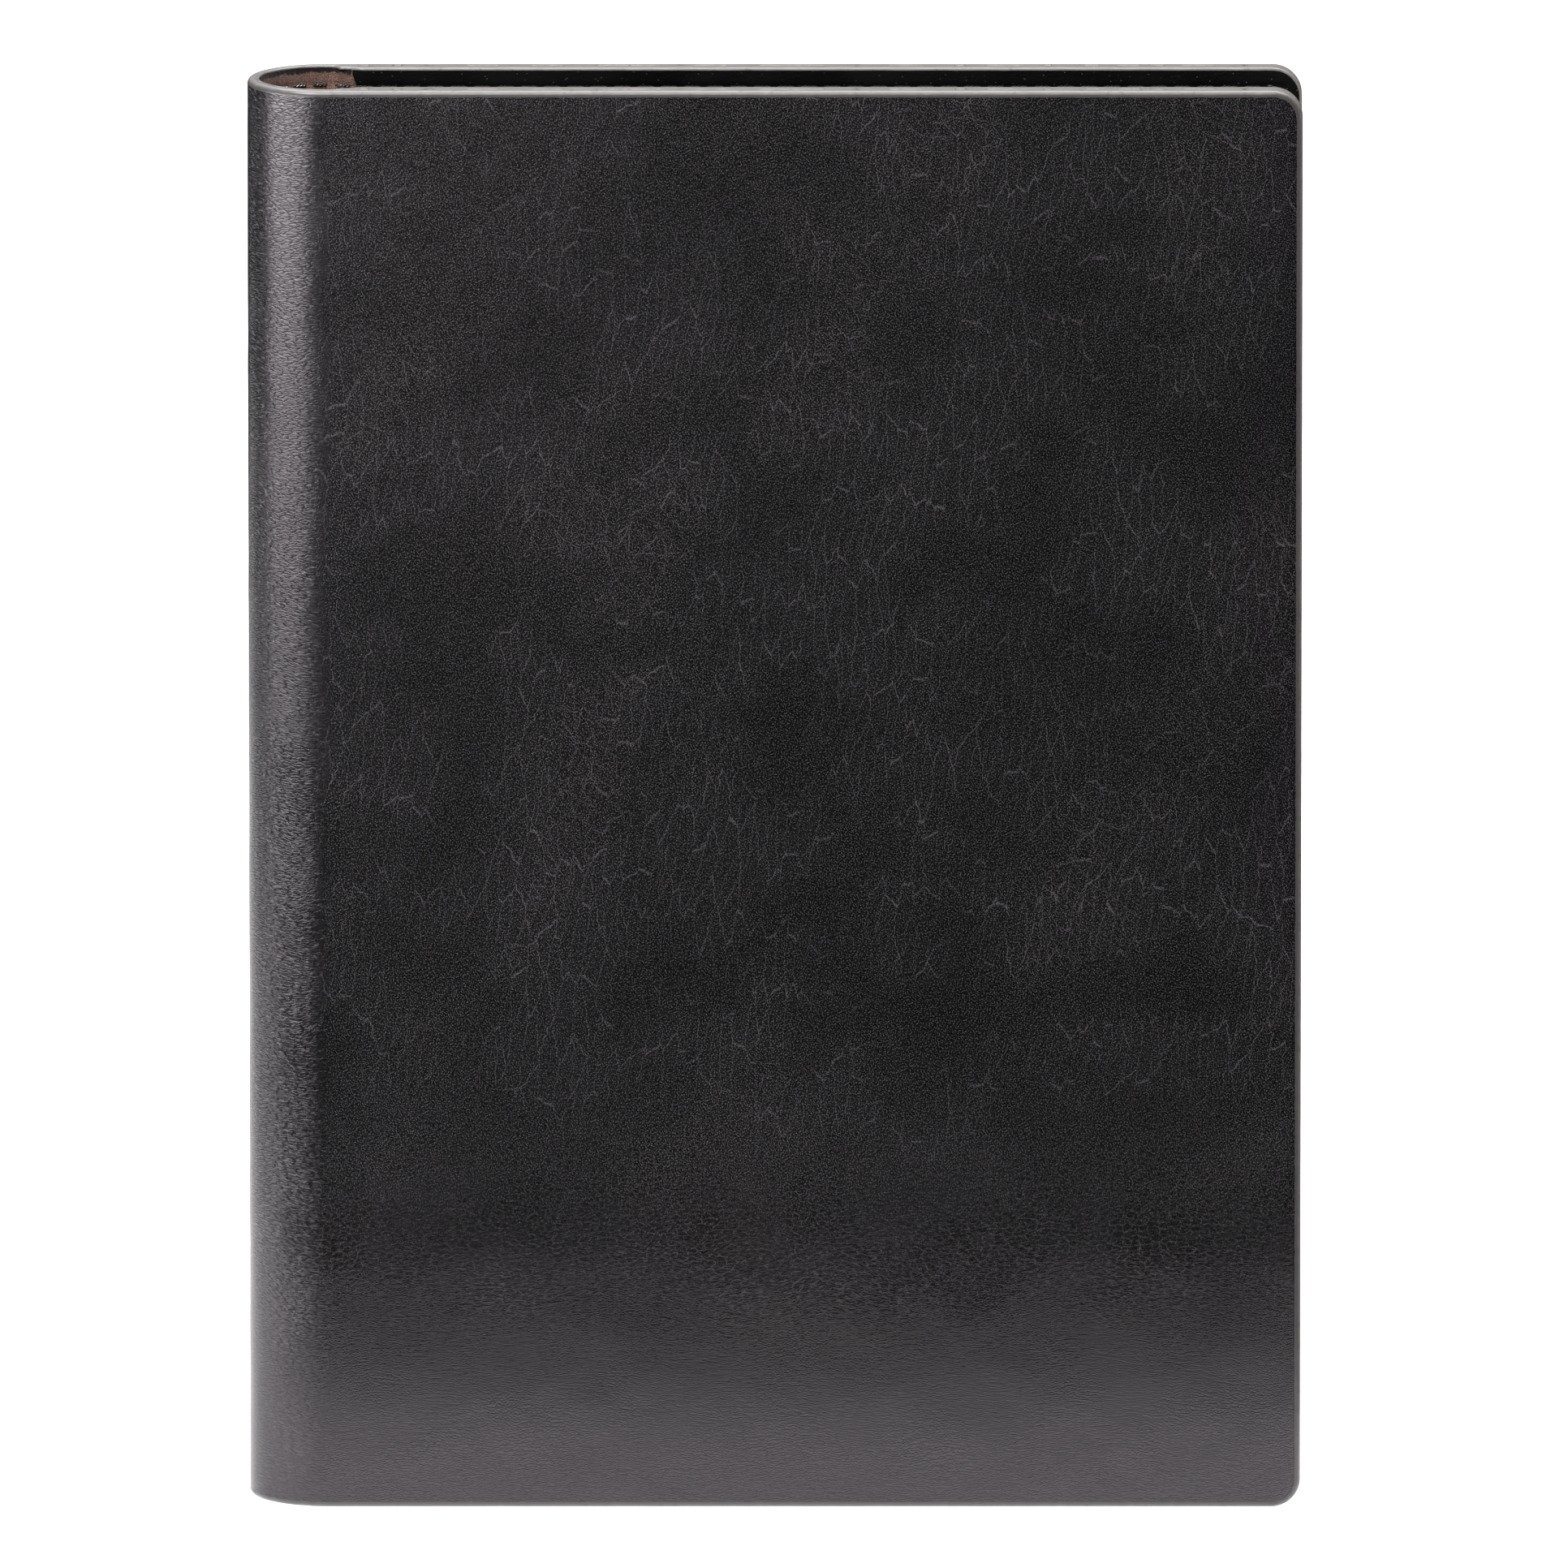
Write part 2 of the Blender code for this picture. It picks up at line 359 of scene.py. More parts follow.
def maths(tree, operation, a, b=0.0):
    return node(tree, "ShaderNodeMath", {0: a, 1: b}, operation=operation)


def times(tree, a, b):
    return maths(tree, "MULTIPLY", a, b)


def part_of(tree, vector, axis):
    """One of a vector's three parts."""
    return node(tree, "ShaderNodeSeparateXYZ", {0: vector}, out=axis)


def ramp(tree, value, start, end, low=0.0, high=1.0):
    """An even S from low to high as value goes from start to end."""
    inputs = {"Value": value, "From Min": start, "From Max": end, "To Min": low, "To Max": high}
    return node(tree, "ShaderNodeMapRange", inputs, interpolation_type="SMOOTHSTEP")


def blend_colours(tree, factor, a, b):
    a, b = [(*c, 1) if isinstance(c, tuple) else c for c in (a, b)]
    return node(tree, "ShaderNodeMix", {0: factor, 6: a, 7: b}, out=2, data_type="RGBA")


def blend_values(tree, factor, a, b):
    return node(tree, "ShaderNodeMix", {0: factor, 2: a, 3: b}, data_type="FLOAT")


def stretched(tree, vector, scale, turn=0.0):
    """Coordinates scaled along each axis, after a turn of the sheet in degrees."""
    turned = node(tree, "ShaderNodeMapping", {0: vector, 2: (0, 0, math.radians(turn))})
    return node(tree, "ShaderNodeMapping", {0: turned, 3: scale})


def cloud(tree, vector, scale, detail=1.0, roughness=0.5, dimensions="2D"):
    inputs = {"Vector": vector, "Scale": scale, "Detail": detail, "Roughness": roughness}
    return node(tree, "ShaderNodeTexNoise", inputs, noise_dimensions=dimensions)


def cells(tree, vector, scale, feature="F1"):
    inputs = {"Vector": vector, "Scale": scale}
    return node(tree, "ShaderNodeTexVoronoi", inputs, feature=feature, voronoi_dimensions="2D")


def warped(tree, vector, scale, amount):
    """Coordinates pushed about by noise, so that a pattern on them wanders."""
    inputs = {"Vector": vector, "Scale": scale, "Detail": 1.0}
    pushed = node(tree, "ShaderNodeTexNoise", inputs, out=1, noise_dimensions="2D")
    centred = node(tree, "ShaderNodeVectorMath", {0: pushed, 1: (0.5, 0.5, 0.5)}, operation="SUBTRACT")
    scaled = node(tree, "ShaderNodeVectorMath", {0: centred, "Scale": amount}, operation="SCALE")
    return node(tree, "ShaderNodeVectorMath", {0: vector, 1: scaled}, operation="ADD")


def longer_round_spine(tree, vector, scale):
    """Coordinates scaled along each axis. Round the spine a pattern on them is about four times as long."""
    s = part_of(tree, vector, 0)
    half = S_FLAT / MM - 1.0
    held = maths(tree, "MAXIMUM", maths(tree, "MINIMUM", s, half), -half)
    squeezed = maths(tree, "SUBTRACT", s, times(tree, held, 0.76))
    joined = node(tree, "ShaderNodeCombineXYZ", {0: squeezed, 1: part_of(tree, vector, 1)})
    return node(tree, "ShaderNodeMapping", {0: joined, 3: scale})


def new_material(name):
    """A material with an empty Principled shader, and the sheet's coordinates in millimetres."""
    made = bpy.data.materials.new(name)
    made.use_nodes = True
    tree = made.node_tree
    shader = tree.nodes["Principled BSDF"]
    sheet = node(tree, "ShaderNodeAttribute", out=1, attribute_name="sheet")
    return made, tree, shader, sheet


def finish_material(tree, shader, colour, roughness, height, distance, strength=1.0, **others):
    """Joins the shader's inputs. height is in units of distance, which is in metres."""
    bump = node(tree, "ShaderNodeBump", {"Strength": strength, "Distance": distance, "Height": height})
    inputs = {"Base Color": colour, "Roughness": roughness, "Normal": bump, **others}
    for key, value in inputs.items():
        if isinstance(value, bpy.types.NodeSocket):
            tree.links.new(value, shader.inputs[key])
        else:
            shader.inputs[key].default_value = value


def painted_crease_highlights(tree, jitter, patches, other_patches, flat, low):
    """Painted highlights as light grey lines where the leather is creased: upright and slanted ones in
    patches, and a net of them lower.
    """
    wavy = warped(tree, jitter, 0.60, 0.8)
    upright = cells(tree, stretched(tree, wavy, (0.55, 0.10, 1.0), 6), 1.0, "DISTANCE_TO_EDGE")
    slanted = cells(tree, stretched(tree, wavy, (0.50, 0.15, 1.0), -42), 1.0, "DISTANCE_TO_EDGE")
    net = cells(tree, stretched(tree, jitter, (0.72, 1.25, 1.0), -5), 1.0, "DISTANCE_TO_EDGE")
    upright = times(tree, ramp(tree, upright, 0.036, 0.0), ramp(tree, patches, 0.32, 0.58, 0.0, 0.9))
    slanted = times(tree, ramp(tree, slanted, 0.034, 0.0), ramp(tree, other_patches, 0.52, 0.70, 0.0, 0.7))
    net = times(tree, ramp(tree, net, 0.15, 0.0, 0.0, 0.4), low)
    crease_highlights = times(tree, maths(tree, "MAXIMUM", upright, slanted), flat)
    return maths(tree, "MAXIMUM", crease_highlights, net)


def painted_glints(tree, fine, pebbles, z):
    """Painted highlights, as light grey colour: glints on the tips of the grain and on the short strokes
    between its pebbles.
    """
    tips = ramp(tree, fine, 0.59, 0.71, 0.0, 0.75)
    strokes = times(tree, ramp(tree, pebbles, 0.07, 0.0), ramp(tree, fine, 0.46, 0.60, 0.0, 0.6))
    return times(tree, maths(tree, "MAXIMUM", tips, strokes), ramp(tree, z, 18.0, 60.0, 0.25, 1.0))


def outer_leather_material():
    """Black leather with a close grain. The glints of its grain and its light crease lines are painted
    highlights, as light grey colour. It is creased upright and slantwise where it has been stretched, and
    netted with crease lines low on the covers. Round the spine the grain lies level."""
    made, tree, shader, sheet = new_material("outer_leather_grain")
    s = maths(tree, "ABSOLUTE", part_of(tree, sheet, 0))
    z = part_of(tree, sheet, 1)
    jitter = warped(tree, warped(tree, sheet, 0.05, 5.0), 1.5, 0.34)
    patches = cloud(tree, sheet, 0.045, 2.0, 0.6)
    other_patches = cloud(tree, stretched(tree, sheet, (1.0, 0.6, 1.0), 30), 0.035, 2.0, 0.6)

    spine = ramp(tree, s, S_FLAT / MM + 1.0, S_FLAT / MM - 3.0)
    flat = times(tree, ramp(tree, z, 35.0, 75.0), ramp(tree, spine, 1.0, 0.0))
    low = ramp(tree, maths(tree, "ADD", z, times(tree, patches, 50.0)), 96.0, 66.0)
    low = times(tree, low, ramp(tree, z, 16.0, 38.0))
    level = maths(tree, "MAXIMUM", spine, ramp(tree, z, 60.0, 25.0, 0.0, 0.9))

    speckle = cloud(tree, stretched(tree, sheet, (6.0, 4.2, 1.0), -25), 1.0)
    level_grain = cloud(tree, stretched(tree, jitter, (0.85, 2.7, 1.0), 4), 1.0, 2.0)
    fine = blend_values(tree, level, speckle, level_grain)
    pebbles = cells(tree, longer_round_spine(tree, jitter, (2.5, 2.9, 1.0)), 1.0, "DISTANCE_TO_EDGE")

    crease_highlights = painted_crease_highlights(tree, jitter, patches, other_patches, flat, low)
    crease_highlights = times(tree, crease_highlights, ramp(tree, fine, 0.38, 0.58, 0.1, 1.0))
    # Painted highlights: the mask where the glints and crease lines lighten the colour.
    light = maths(tree, "MAXIMUM", crease_highlights, painted_glints(tree, fine, pebbles, z))
    light = times(tree, light, ramp(tree, other_patches, 0.30, 0.65, 0.75, 1.0))
    black, dark_grey = (0.0017, 0.0016, 0.0019), (0.0028, 0.0026, 0.0030)
    ground = blend_colours(tree, ramp(tree, patches, 0.2, 0.8), black, dark_grey)
    browned = ramp(tree, other_patches, 0.45, 0.75, 0.0, 0.15)
    ground = blend_colours(tree, browned, ground, (0.0060, 0.0046, 0.0042))
    # The light grey colour of the painted highlights, mixed over the black.
    colour = blend_colours(tree, light, ground, (0.070, 0.066, 0.070))

    raised = times(tree, ramp(tree, pebbles, 0.0, 0.25), maths(tree, "ADD", level, 0.4))
    smoothed = times(tree, fine, ramp(tree, level, 0.0, 1.0, 1.0, 0.4))
    height = maths(tree, "ADD", smoothed, times(tree, raised, 0.20))
    roughness = ramp(tree, patches, 0.35, 0.65, 0.23, 0.27)
    roughness = maths(tree, "ADD", roughness, times(tree, spine, 0.07))
    dull = times(tree, ramp(tree, pebbles, 0.18, 0.0), level)
    dull = times(tree, dull, ramp(tree, z, 10.0, 70.0, 0.35, 1.0))
    gloss = ramp(tree, dull, 0.0, 1.0, 0.88, 0.30)
    others = {"Specular IOR Level": gloss, "Specular Tint": (1.0, 0.92, 0.985, 1)}
    finish_material(tree, shader, colour, roughness, height, 0.05 * MM, **others)
    return made


def suede_material(name, dark, light, rim=True):
    """Suede with a short nap. Along the cover's edges the edge paint has run a little way into it."""
    made, tree, shader, sheet = new_material(name)
    nap = cloud(tree, sheet, 4.5, 2.0, 0.7)
    brushed = cloud(tree, stretched(tree, sheet, (0.5, 0.16, 1.0), 20), 1.0, 2.0, 0.6)
    colour = blend_colours(tree, ramp(tree, nap, 0.32, 0.70), dark, light)
    shaded = blend_colours(tree, 0.5, colour, dark)
    colour = blend_colours(tree, ramp(tree, brushed, 0.40, 0.64), shaded, colour)
    if rim:
        z = part_of(tree, sheet, 1)
        edge = maths(tree, "MINIMUM", z, maths(tree, "SUBTRACT", HEIGHT / MM, z))
        ragged = maths(tree, "ADD", edge, times(tree, cloud(tree, sheet, 1.6, 2.0), 1.1))
        stain = ramp(tree, ragged, 1.85, 1.45)
        colour = blend_colours(tree, stain, colour, (0.012, 0.010, 0.010))
    height = maths(tree, "ADD", nap, times(tree, cloud(tree, sheet, 1.3, 2.0), 0.8))
    others = {"Sheen Weight": 0.35, "Sheen Roughness": 0.5, "Specular IOR Level": 0.15}
    finish_material(tree, shader, colour, 0.95, height, 0.22 * MM, **others)
    return made


def pocket_material():
    """Smooth black leather with a close grain and specks of dust that catch the light."""
    made, tree, shader, sheet = new_material("pocket_leather_grain")
    jitter = warped(tree, sheet, 0.9, 0.5)
    grain = cells(tree, jitter, 2.8)
    seams = ramp(tree, cells(tree, jitter, 1.9, "DISTANCE_TO_EDGE"), 0.12, 0.0)
    clouds = cloud(tree, sheet, 0.05, 2.0, 0.6)
    black, dark_grey = (0.0012, 0.0012, 0.0014), (0.0034, 0.0032, 0.0034)
    colour = blend_colours(tree, ramp(tree, clouds, 0.35, 0.7), black, dark_grey)
    specks = cells(tree, sheet, 0.85)
    chosen = ramp(tree, cloud(tree, sheet, 0.7, 1.0), 0.52, 0.60)
    dust = times(tree, ramp(tree, specks, 0.085, 0.05), chosen)
    colour = blend_colours(tree, times(tree, dust, 0.6), colour, (0.22, 0.21, 0.20))
    height = maths(tree, "SUBTRACT", grain, times(tree, seams, 0.5))
    roughness = blend_values(tree, ramp(tree, clouds, 0.3, 0.7), 0.50, 0.62)
    finish_material(tree, shader, colour, roughness, height, 0.025 * MM, **{"Specular IOR Level": 0.25})
    return made


def edge_paint_material():
    """Grey edge paint, brushed on along the edge. Its outer rounding is painted darker towards the lip, as
    painted shade where the edge turns away from the light.
    """
    made, tree, shader, sheet = new_material("edge_paint")
    across = part_of(tree, sheet, 1)
    streaks = cloud(tree, stretched(tree, sheet, (0.22, 6.0, 1.0)), 1.0, 2.0, 0.6)
    blotches = cloud(tree, sheet, 0.55, 2.0, 0.6)
    colour = blend_colours(tree, ramp(tree, streaks, 0.3, 0.7), (0.17, 0.159, 0.158), (0.24, 0.227, 0.225))
    colour = blend_colours(tree, ramp(tree, blotches, 0.62, 0.72, 0.0, 0.4), colour, (0.08, 0.073, 0.072))
    # Painted shade: the outer rounding darkens towards the lip.
    rounding_shade = blend_colours(tree, 0.9, colour, (0.030, 0.027, 0.027))
    colour = blend_colours(tree, ramp(tree, across, 0.3, 1.5), rounding_shade, colour)
    height = maths(tree, "ADD", times(tree, streaks, 0.4), blotches)
    others = {"Specular IOR Level": 0.6, "Coat Weight": 0.25, "Coat Roughness": 0.25}
    finish_material(tree, shader, colour, 0.38, height, 0.02 * MM, **others)
    return made


def thread_material():
    """Black waxed polyester thread, whose fibres run along each ply. Its paler fibres are partly its own
    tone and partly a painted highlight of the thread's glints.
    """
    made, tree, shader, sheet = new_material("waxed_thread")
    fibres = cloud(tree, stretched(tree, sheet, (1.2, 9.0, 9.0)), 1.0, 2.0)
    # The paler fibre colour is partly the thread's own tone and partly painted highlight.
    black, fibre_tone_and_glint = (0.018, 0.018, 0.019), (0.075, 0.072, 0.072)
    colour = blend_colours(tree, ramp(tree, fibres, 0.35, 0.65), black, fibre_tone_and_glint)
    others = {"Specular IOR Level": 1.0, "Coat Weight": 1.0, "Coat Roughness": 0.2}
    finish_material(tree, shader, colour, 0.28, fibres, 0.03 * MM, **others)
    return made


def board_material():
    """Grey recycled board with paper fibres."""
    made, tree, shader, _ = new_material("grey_board")
    in_object = node(tree, "ShaderNodeTexCoord", out=3)
    fibres = cloud(tree, in_object, 900.0, 3.0, 0.7, "3D")
    colour = blend_colours(tree, ramp(tree, fibres, 0.3, 0.7), (0.16, 0.15, 0.14), (0.27, 0.25, 0.23))
    finish_material(tree, shader, colour, 0.9, fibres, 0.1 * MM)
    return made


def cut_leather_material():
    """The raw edge of cut leather: paler, fibrous and a little ragged."""
    made, tree, shader, sheet = new_material("cut_leather")
    fibres = cloud(tree, sheet, 3.0, 3.0, 0.6)
    colour = blend_colours(tree, ramp(tree, fibres, 0.3, 0.7), (0.11, 0.095, 0.088), (0.30, 0.275, 0.26))
    finish_material(tree, shader, colour, 0.8, fibres, 0.1 * MM)
    return made


OUTER_GRAIN = outer_leather_material()
FLESH = suede_material("leather_flesh_side", (0.05, 0.035, 0.028), (0.12, 0.085, 0.07), rim=False)
SUEDE = suede_material("brown_suede", (0.15, 0.085, 0.064), (0.46, 0.285, 0.220))
POCKET_GRAIN = pocket_material()
EDGE_PAINT = edge_paint_material()
THREAD = thread_material()
BOARD = board_material()
CUT_LEATHER = cut_leather_material()


# The pieces.


def leather_relief(s, z):
    """How far the outer leather stands out of its even section. It lies flat near the painted edge."""
    edge = min(rim_distance(z), S_FORE - abs(s)) - SHEET_INSET
    swell = 0.050 * ruffle(s, z, 17 * MM) + 0.035 * ruffle(s, z, 7 * MM, 3.1)
    swell += 0.016 * ruffle(s, z, 2.9 * MM, 7.7)
    return swell * MM * smooth(edge, 0.6 * MM, 3.5 * MM)


def edge_rounding(s, z):
    """How deep the outer leather lies at its rim, where it is pared away under the paint's rounding."""
    outward = 1 - min(1.0, edge_distance(s, z) / (PAINT_REACH - 0.07 * MM))
    paint = PAINT_ROUND - (PAINT_ROUND + LIP) * math.sqrt(1 - outward**2)
    return max(0.0, paint + 0.06 * MM * smooth(outward, 0.0, 0.15))


def seam_dip(s, z):
    """How far the stitches pull the sheet in, along the seam line."""
    inside = min(rim_distance(z), S_FORE - abs(s))
    return FURROW_DEPTH * math.exp(-(((inside - SEAM_INSET) / FURROW_WIDTH) ** 2))


def leather_depths(s, z):
    """The depths of the outer leather's two faces. It stops just short of the board."""
    return edge_rounding(s, z) - leather_relief(s, z), BOARD_FACE - 0.02 * MM


def make_outer_leather(number):
    grid = bend_grid(number, cover_rows(SHEET_INSET, LEATHER_STEP), SHEET_INSET, LEATHER_STEP)
    piece = closed_sheet(f"outer_leather_{number + 1}", grid, leather_depths, [OUTER_GRAIN, FLESH, FLESH])
    return bend(piece)


def lining_depths(s, z):
    """The depths of the lining's two faces. The stitches pull the inner one in."""
    inner = lining_depth(s) + 0.05 * MM * ruffle(s, z, 6 * MM, 11.3) - seam_dip(s, z)
    return lining_depth(s) - LINING, inner


def make_lining(number):
    rows = with_seam(cover_rows(SHEET_INSET, LINING_STEP), SEAM_LINES)
    grid = bend_grid(number, rows, SHEET_INSET, LINING_STEP)
    piece = closed_sheet(f"suede_lining_{number + 1}", grid, lining_depths, [SUEDE, SUEDE, SUEDE])
    return bend(piece)


def pocket_mouth(z):
    """The s of the pocket's free edge. It is scooped, so that a notebook's cover slides in easily."""
    up = 2 * z / HEIGHT - 1
    x = X_POCKET + POCKET_SCOOP * (1 - up**2) + corner_cut(rim_distance(z), POCKET_CORNER)
    return s_of_x(x) + 0.06 * MM * ruffle(0, z, 1.7 * MM, 5.0)


def pocket_depths(s, z):
    """The pocket is glued down along its rim and stands clear of the lining inside it."""
    inside = min(rim_distance(z), S_FORE - abs(s))
    raised = smooth(inside, *POCKET_RAMP)
    face = POCKET_RIM_FACE + (POCKET_FACE - POCKET_RIM_FACE) * raised
    full = smooth(abs(s) - pocket_mouth(z), 0.0, PARED_WIDTH)
    outer = face - POCKET * (1 - PARED_SHARE + PARED_SHARE * full)
    soft = 0.10 * MM * ruffle(s, z, 21 * MM, 2.2) + 0.05 * MM * ruffle(s, z, 6 * MM, 9.4)
    return outer, face - 0.25 * MM * (1 - full) + soft * raised - seam_dip(s, z)


def pocket_stations(z):
    """Places across a pocket at this height: close together at its free edge and round its seam. Where a
    corner sets the edge back, the places beyond it crowd up inside it."""
    from_mouth = [0, 0.1, 0.3, 0.6, 1.0, 1.5, 2.1]
    from_edge = [7.5, 6.5, 5.5, 4.8, 4.2, 3.9, 3.6, 3.3, 3.0, 2.7, 2.4, 2.1, 1.8, 1.2, 0.6]
    between = 60
    edge = fore_s(z, SHEET_INSET)
    near = [pocket_mouth(z) + step * MM for step in from_mouth]
    far = [edge + SHEET_INSET - step * MM for step in from_edge] + [edge]
    middle = [near[-1] + (far[0] - near[-1]) * k / between for k in range(1, between)]
    limits = [edge - SMALLEST_STEP * (len(far) - 1 - k) for k in range(len(far))]
    return near + middle + [min(s, limit) for s, limit in zip(far, limits)]


def make_pocket(side, label):
    """side is 1 for the front cover and -1 for the back one."""
    rows = with_seam(cover_rows(SHEET_INSET, POCKET_STEP), SEAM_LINES)
    grid = [[(side * s, z) for s in pocket_stations(z)] for z in rows]
    looks = [FLESH, POCKET_GRAIN, CUT_LEATHER]
    piece = closed_sheet(f"{label}_pocket_leather", grid, pocket_depths, looks, 1)
    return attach(piece, f"{label}_cover")


# The painted edge.


def edge_profile(depth, reach):
    """The painted edge's outline across an edge this deep, as (depth, distance out from the edge line): the
    lip on the outer face, the outer rounding, the crown with the groove between the leather and the lining,
    the inner rounding, and the way back under the sheets."""
    inner = min(0.4 * MM, 0.16 * depth)
    groove = GROOVE * (1 - smooth(depth, SPINE_FACE, POCKET_RIM_FACE))
    points = [(0.12 * MM, -reach - 0.02 * MM)]
    for k in range(9):
        angle = math.pi / 2 * k / 8
        across = PAINT_ROUND - (PAINT_ROUND + LIP) * math.cos(angle)
        points.append((across, -reach * (1 - math.sin(angle))))
    half = 0.09 * MM
    points += [(BOARD_FACE - 0.17 * MM, -0.05 * groove), (BOARD_FACE - half, -0.3 * groove)]
    points += [(BOARD_FACE, -1.2 * groove), (BOARD_FACE + half, -0.3 * groove)]
    first, last = BOARD_FACE + half, depth - inner
    points += [(first + (last - first) * k / 3, -0.05 * groove) for k in (1, 2)]
    for k in range(6):
        angle = math.pi / 2 * k / 5
        points.append((last + (inner + LIP) * math.sin(angle), -inner * (1 - math.cos(angle))))
    points += [(depth - 0.10 * MM, -inner - 0.08 * MM), (depth / 2, -reach - 0.2 * MM)]
    return points


def sweep_edge(name, stations):
    """The painted edge along stations (s, z, ds, dz), where (ds, dz) points out of the sheet."""
    vertices, coordinates, rings = [], [], []
    travelled = 0.0
    before = None
    for s, z, ds, dz in stations:
        travelled += math.hypot(s - before[0], z - before[1]) if before else 0.0
        before = (s, z)
        reach = PAINT_REACH + 0.10 * MM * ruffle(travelled, 0, 1.3 * MM, 4.0)
        swell = 0.02 * MM * ruffle(travelled, 0, 5 * MM, 8.0)
        ring, across, last = [], 0.0, None
        for depth, out in edge_profile(face_depth(s), reach):
            out += swell if out > -0.5 * MM else 0.0
            across += math.hypot(depth - last[0], out - last[1]) if last else 0.0
            last = (depth, out)
            ring.append(len(vertices))
            vertices.append(place(s + ds * out, z + dz * out, depth))
            coordinates.append((travelled, across, 0.0))
        rings.append(ring)
    faces = []
    for one, two in zip(rings, rings[1:]):
        for k in range(len(one)):
            j = (k + 1) % len(one)
            faces.append((one[k], one[j], two[j], two[k]))
    if volume(vertices, faces) < 0:
        faces = [face[::-1] for face in faces]
        rings = [ring[::-1] for ring in rings]
    faces += [tuple(rings[0][::-1]), tuple(rings[-1])]
    return add_piece(name, vertices, faces, [0] * len(faces), [EDGE_PAINT], coordinates)


def edge_line(side, s_from):
    """Stations round one cover's edge, from its cut at the top, round the opening side, to the bottom. They
    are close together where the edge gets thicker, over the board and over the pocket."""
    past_pocket = s_of_x(X_POCKET) + 4 * MM
    centre_s, centre_z = S_FORE - CORNER_RADIUS, HEIGHT - CORNER_RADIUS
    along = spaced(s_from, S_FLAT, 0.4 * MM)[:-1]
    along += spaced(S_FLAT, past_pocket, 0.35 * MM)[:-1]
    along += spaced(past_pocket, centre_s, 0.8 * MM)[:-1]
    top = [(s, HEIGHT, 0.0, 1.0) for s in along]
    for k in range(17):
        angle = math.pi / 2 * k / 16
        ds, dz = math.sin(angle), math.cos(angle)
        top.append((centre_s + CORNER_RADIUS * ds, centre_z + CORNER_RADIUS * dz, ds, dz))
    middle = [(S_FORE, z, 1.0, 0.0) for z in spaced(centre_z, HEIGHT - centre_z, 0.8 * MM)[1:-1]]
    bottom = [(s, HEIGHT - z, ds, -dz) for s, z, ds, dz in reversed(top)]
    return [(side * s, z, side * ds, dz) for s, z, ds, dz in top + middle + bottom]


def make_edges(number):
    """One length's painted edge: a run round a cover, or one along the top and one along the bottom."""
    if number in (BENDS[0], BENDS[-1]):
        side = -1 if number == BENDS[0] else 1
        stations = edge_line(side, min(abs(CUTS[number]), abs(CUTS[number + 1])))
        bend(sweep_edge(f"painted_edge_{number + 1}", stations))
        return
    line = spaced(CUTS[number], CUTS[number + 1], 0.3 * MM)
    for label, z, dz in (("top", HEIGHT, 1.0), ("bottom", 0.0, -1.0)):
        stations = [(s, z, 0.0, dz) for s in line]
        bend(sweep_edge(f"painted_edge_{number + 1}_{label}", stations))


# The seam.


def seam_line():
    """Places (s, z) along the seam, from the middle of the spine at the top, round the front cover, to the
    bottom. The back cover's seam is its mirror image."""
    turn = CORNER_RADIUS - SEAM_INSET
    side = S_FORE - SEAM_INSET
    top = HEIGHT - SEAM_INSET
    corner = [math.pi / 2 * k / 8 for k in range(9)]
    line = [(0.0, top)]
    line += [(side - turn + turn * math.sin(a), top - turn + turn * math.cos(a)) for a in corner]
    line += [(s, HEIGHT - z) for s, z in reversed(line)]
    return np.array(line)


def seam_face(s, z):
    """The depth of the face that the stitches lie on."""
    if abs(s) > pocket_mouth(z):
        return pocket_depths(s, z)[1]
    return lining_depths(s, z)[1]


def stitch(centre, along):
    """One stitch's points, faces and thread coordinates: two plies twisted together, dipping into a hole at
    each end. centre and along are a place on the sheet and a direction there."""
    steps, sides = 14, 6
    across = np.array([-along[1], along[0]])
    vertices, faces, coordinates = [], [], []
    for ply in (0, 1):
        first = len(vertices)
        for k in range(steps + 1):
            t = 2 * k / steps - 1
            twist = math.pi * ply + STITCH_TWIST * t
            dip = STITCH_DIP * smooth(abs(t), 0.72, 1.0)
            offset, lift = PLY * 0.9 * math.cos(twist), PLY * (1.1 + 0.9 * math.sin(twist)) - dip
            for j in range(sides):
                angle = 2 * math.pi * j / sides
                sideways = offset + PLY * math.cos(angle)
                s, z = centre + along * t * STITCH_HALF + across * sideways
                height = lift + PLY * math.sin(angle)
                vertices.append(place(s, z, seam_face(s, z) + STITCH_LIFT + height))
                round_ply = (ply * MM + PLY * math.cos(angle), PLY * math.sin(angle))
                coordinates.append((t * STITCH_HALF, *round_ply))
        for k in range(steps):
            for j in range(sides):
                a, b = first + k * sides + j, first + k * sides + (j + 1) % sides
                faces.append((a, a + sides, b + sides, b))
        faces.append(tuple(range(first, first + sides)))
        faces.append(tuple(range(first + (steps + 1) * sides - 1, first + steps * sides - 1, -1)))
    return vertices, faces, coordinates


